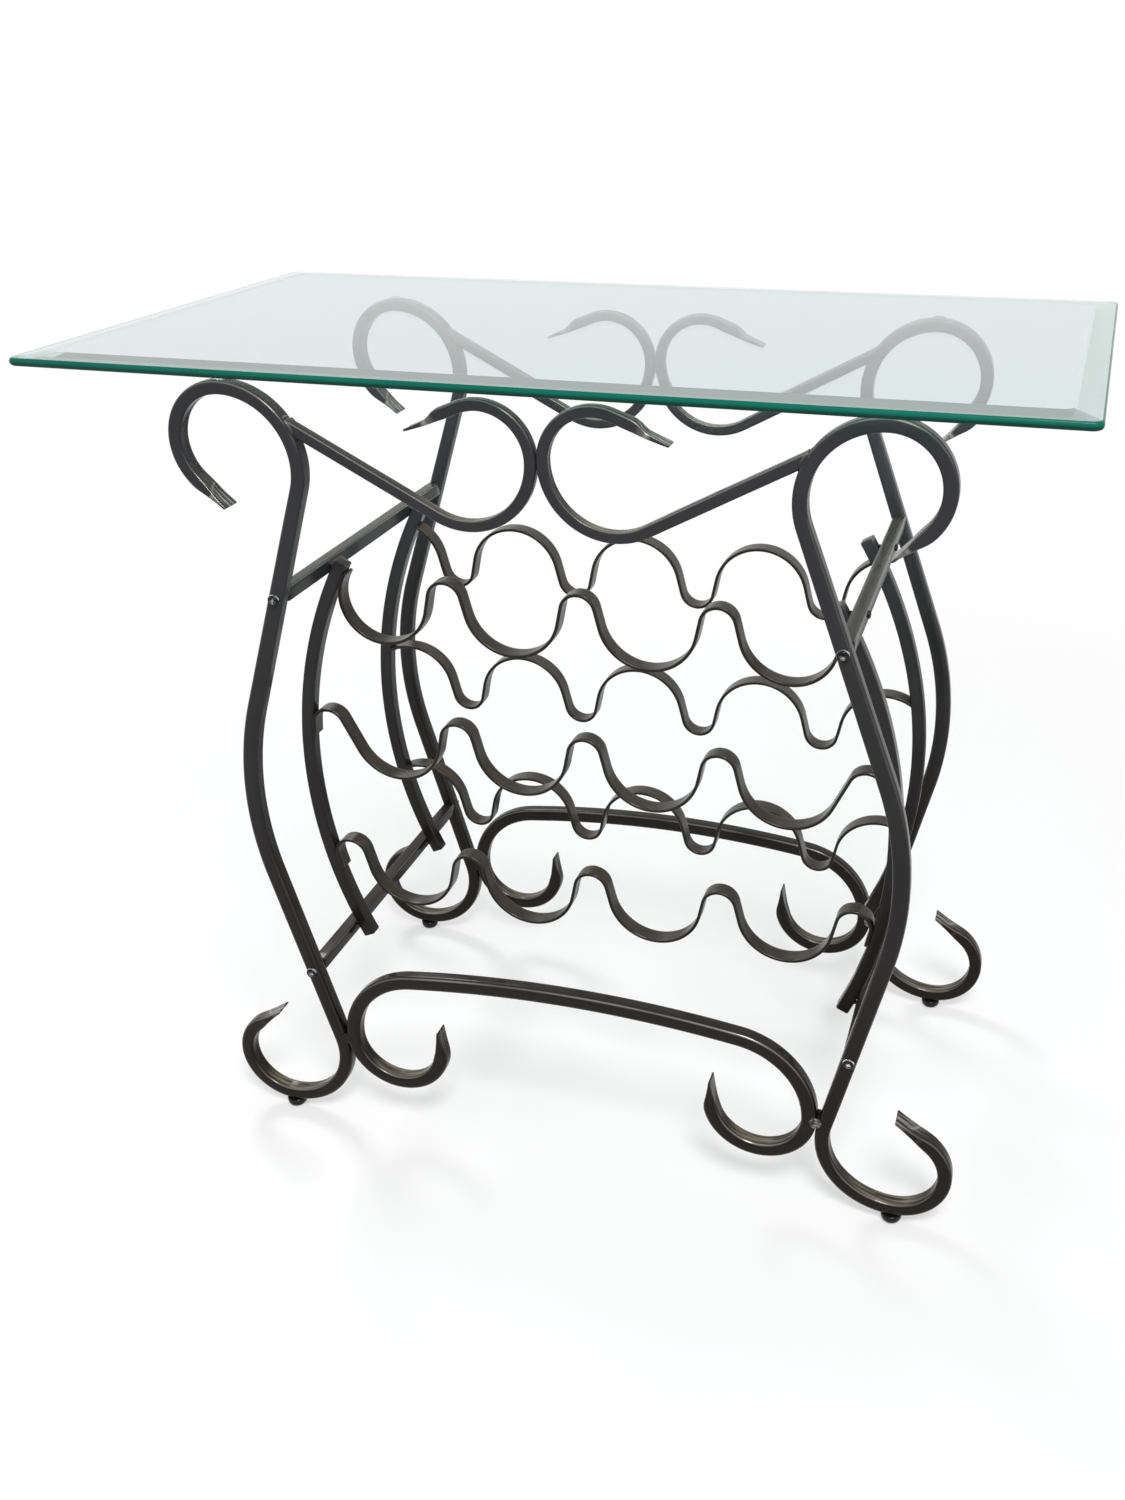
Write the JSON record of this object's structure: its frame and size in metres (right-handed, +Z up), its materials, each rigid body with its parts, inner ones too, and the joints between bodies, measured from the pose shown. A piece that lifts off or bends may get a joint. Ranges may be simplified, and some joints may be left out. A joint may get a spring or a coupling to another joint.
{
  "type": "wine rack table",
  "caption": "Scrolled metal side table with a loose bevelled glass top over a rack of waved strips that hold wine bottles lying down.",
  "frame": {"origin": "on the floor, under the middle of the glass top", "axes": "+X along the table, to the right seen from the front; +Y from front to back; +Z up"},
  "size_m": [0.91, 0.485, 0.7776],
  "materials": {
    "frame": "semi-gloss charcoal",
    "strip": "satin bronze grey",
    "glass": "clear, polished bevel, green edge",
    "glide": "smooth black",
    "fastener": "dark, worn bright in the sockets",
    "pad": "clear soft plastic"
  },
  "bodies": {
    "frame": {"glass_pads": "pad", "leg_front_left": "frame", "apron_scroll_front_left": "frame", "rack_post_front_left": "frame", "leg_front_right": "frame", "apron_scroll_front_right": "frame", "rack_post_front_right": "frame", "leg_back_left": "frame", "apron_scroll_back_left": "frame", "rack_post_back_left": "frame", "leg_back_right": "frame", "apron_scroll_back_right": "frame", "rack_post_back_right": "frame", "stretcher_front": "frame", "stretcher_back": "frame", "side_rail_upper_left": "frame", "side_rail_upper_right": "frame", "side_rail_lower_left": "frame", "side_rail_lower_right": "frame", "cradle_strip_top": "strip", "neck_strip_top": "strip", "cradle_strip_middle": "strip", "neck_strip_middle": "strip", "cradle_strip_bottom": "strip", "neck_strip_bottom": "strip", "rail_bolts": "fastener", "post_screws": "fastener"},
    "glass": {"glass_top": "glass"},
    "glide_front_left": {"foot_glide_front_left": "glide"},
    "glide_front_right": {"foot_glide_front_right": "glide"},
    "glide_back_left": {"foot_glide_back_left": "glide"},
    "glide_back_right": {"foot_glide_back_right": "glide"}
  },
  "joints": [
    {"name": "glass_lift", "type": "slide", "parent": "frame", "child": "glass", "axis": [0, 0, 1], "range_m": [0, 0.2]},
    {"name": "level_front_left", "type": "slide", "parent": "frame", "child": "glide_front_left", "axis": [0, 0, -1], "range_m": [0, 0.006]},
    {"name": "level_front_right", "type": "slide", "parent": "frame", "child": "glide_front_right", "axis": [0, 0, -1], "range_m": [0, 0.006]},
    {"name": "level_back_left", "type": "slide", "parent": "frame", "child": "glide_back_left", "axis": [0, 0, -1], "range_m": [0, 0.006]},
    {"name": "level_back_right", "type": "slide", "parent": "frame", "child": "glide_back_right", "axis": [0, 0, -1], "range_m": [0, 0.006]}
  ]
}
